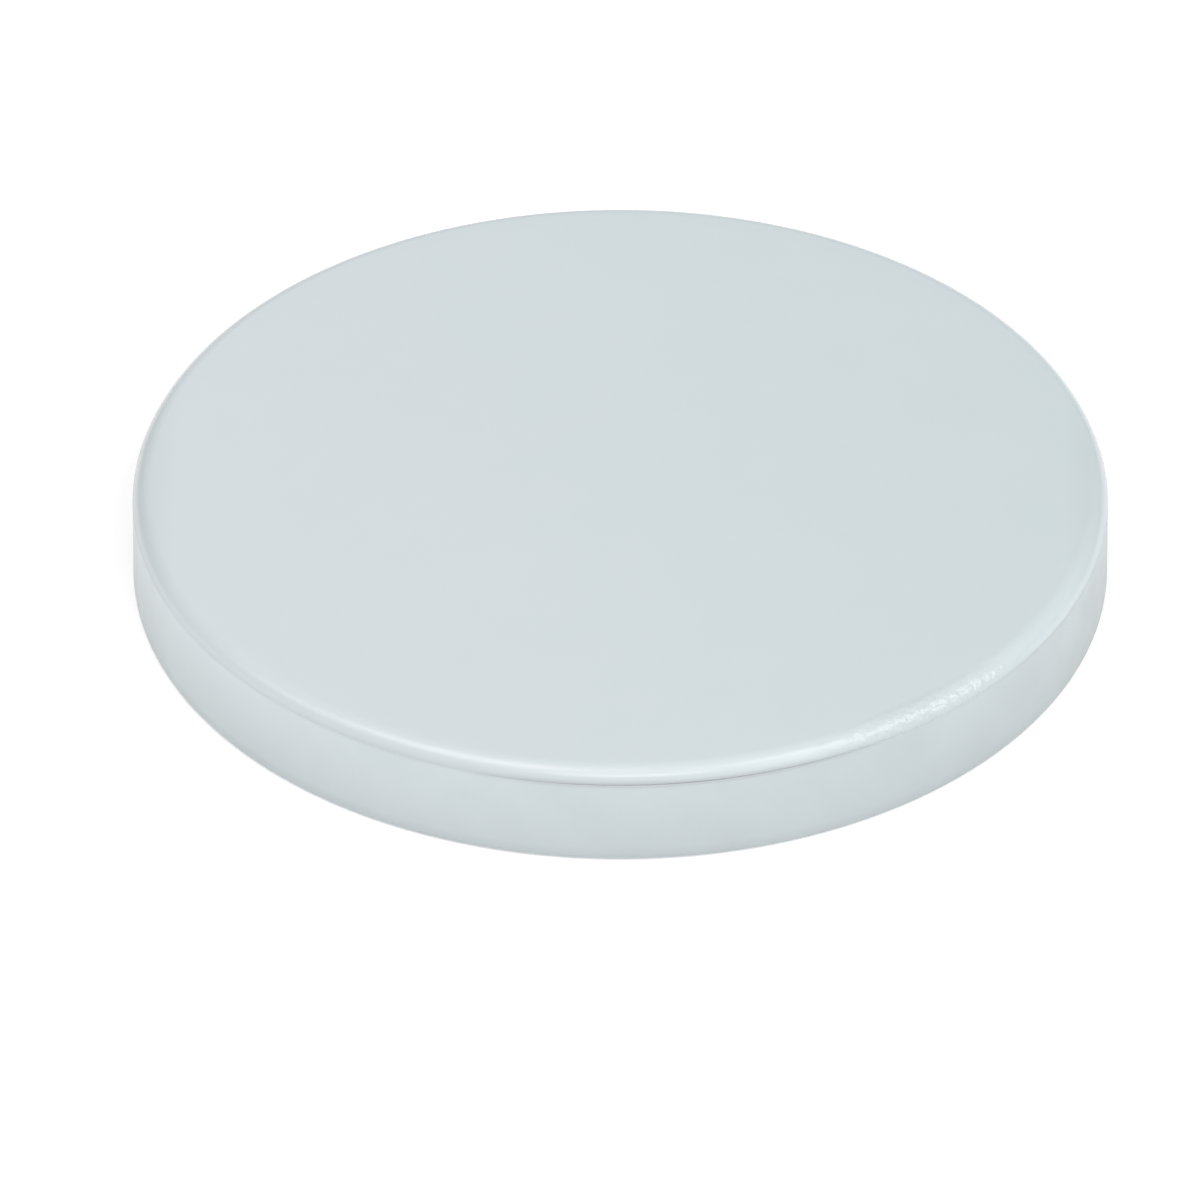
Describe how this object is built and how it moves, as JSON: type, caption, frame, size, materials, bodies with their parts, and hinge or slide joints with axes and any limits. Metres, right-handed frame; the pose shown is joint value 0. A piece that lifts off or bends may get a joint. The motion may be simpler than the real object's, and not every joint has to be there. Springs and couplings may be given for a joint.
{
  "type": "dealer button",
  "caption": "Plain round weighted dealer button with a flat blank face, a softly rounded rim and a fine seam round its edge just under the face.",
  "frame": {"origin": "centre of the underside, on the surface that the button lies on", "axes": "+Z is the button's axis of symmetry, up through the face; +X runs midway between two of the cap's posts, and a pin stands at -Y"},
  "size_m": [0.0508, 0.0508, 0.0056],
  "materials": {
    "cap_plastic": "moulded, cool white, soft satin gloss with fine orange peel",
    "body_plastic": "moulded, cool white, soft satin gloss with fine orange peel",
    "weight_steel": "zinc-plated blank with faint rolling grain",
    "pad_foam": "closed-cell foam tape, matt charcoal",
    "glue": "cured cement, pale amber"
  },
  "bodies": {
    "root": {"face_cap": "cap_plastic", "body_shell": "body_plastic", "steel_weight": "weight_steel", "upper_foam_pad": "pad_foam", "lower_foam_pad": "pad_foam", "glue_bead": "glue"}
  },
  "joints": []
}
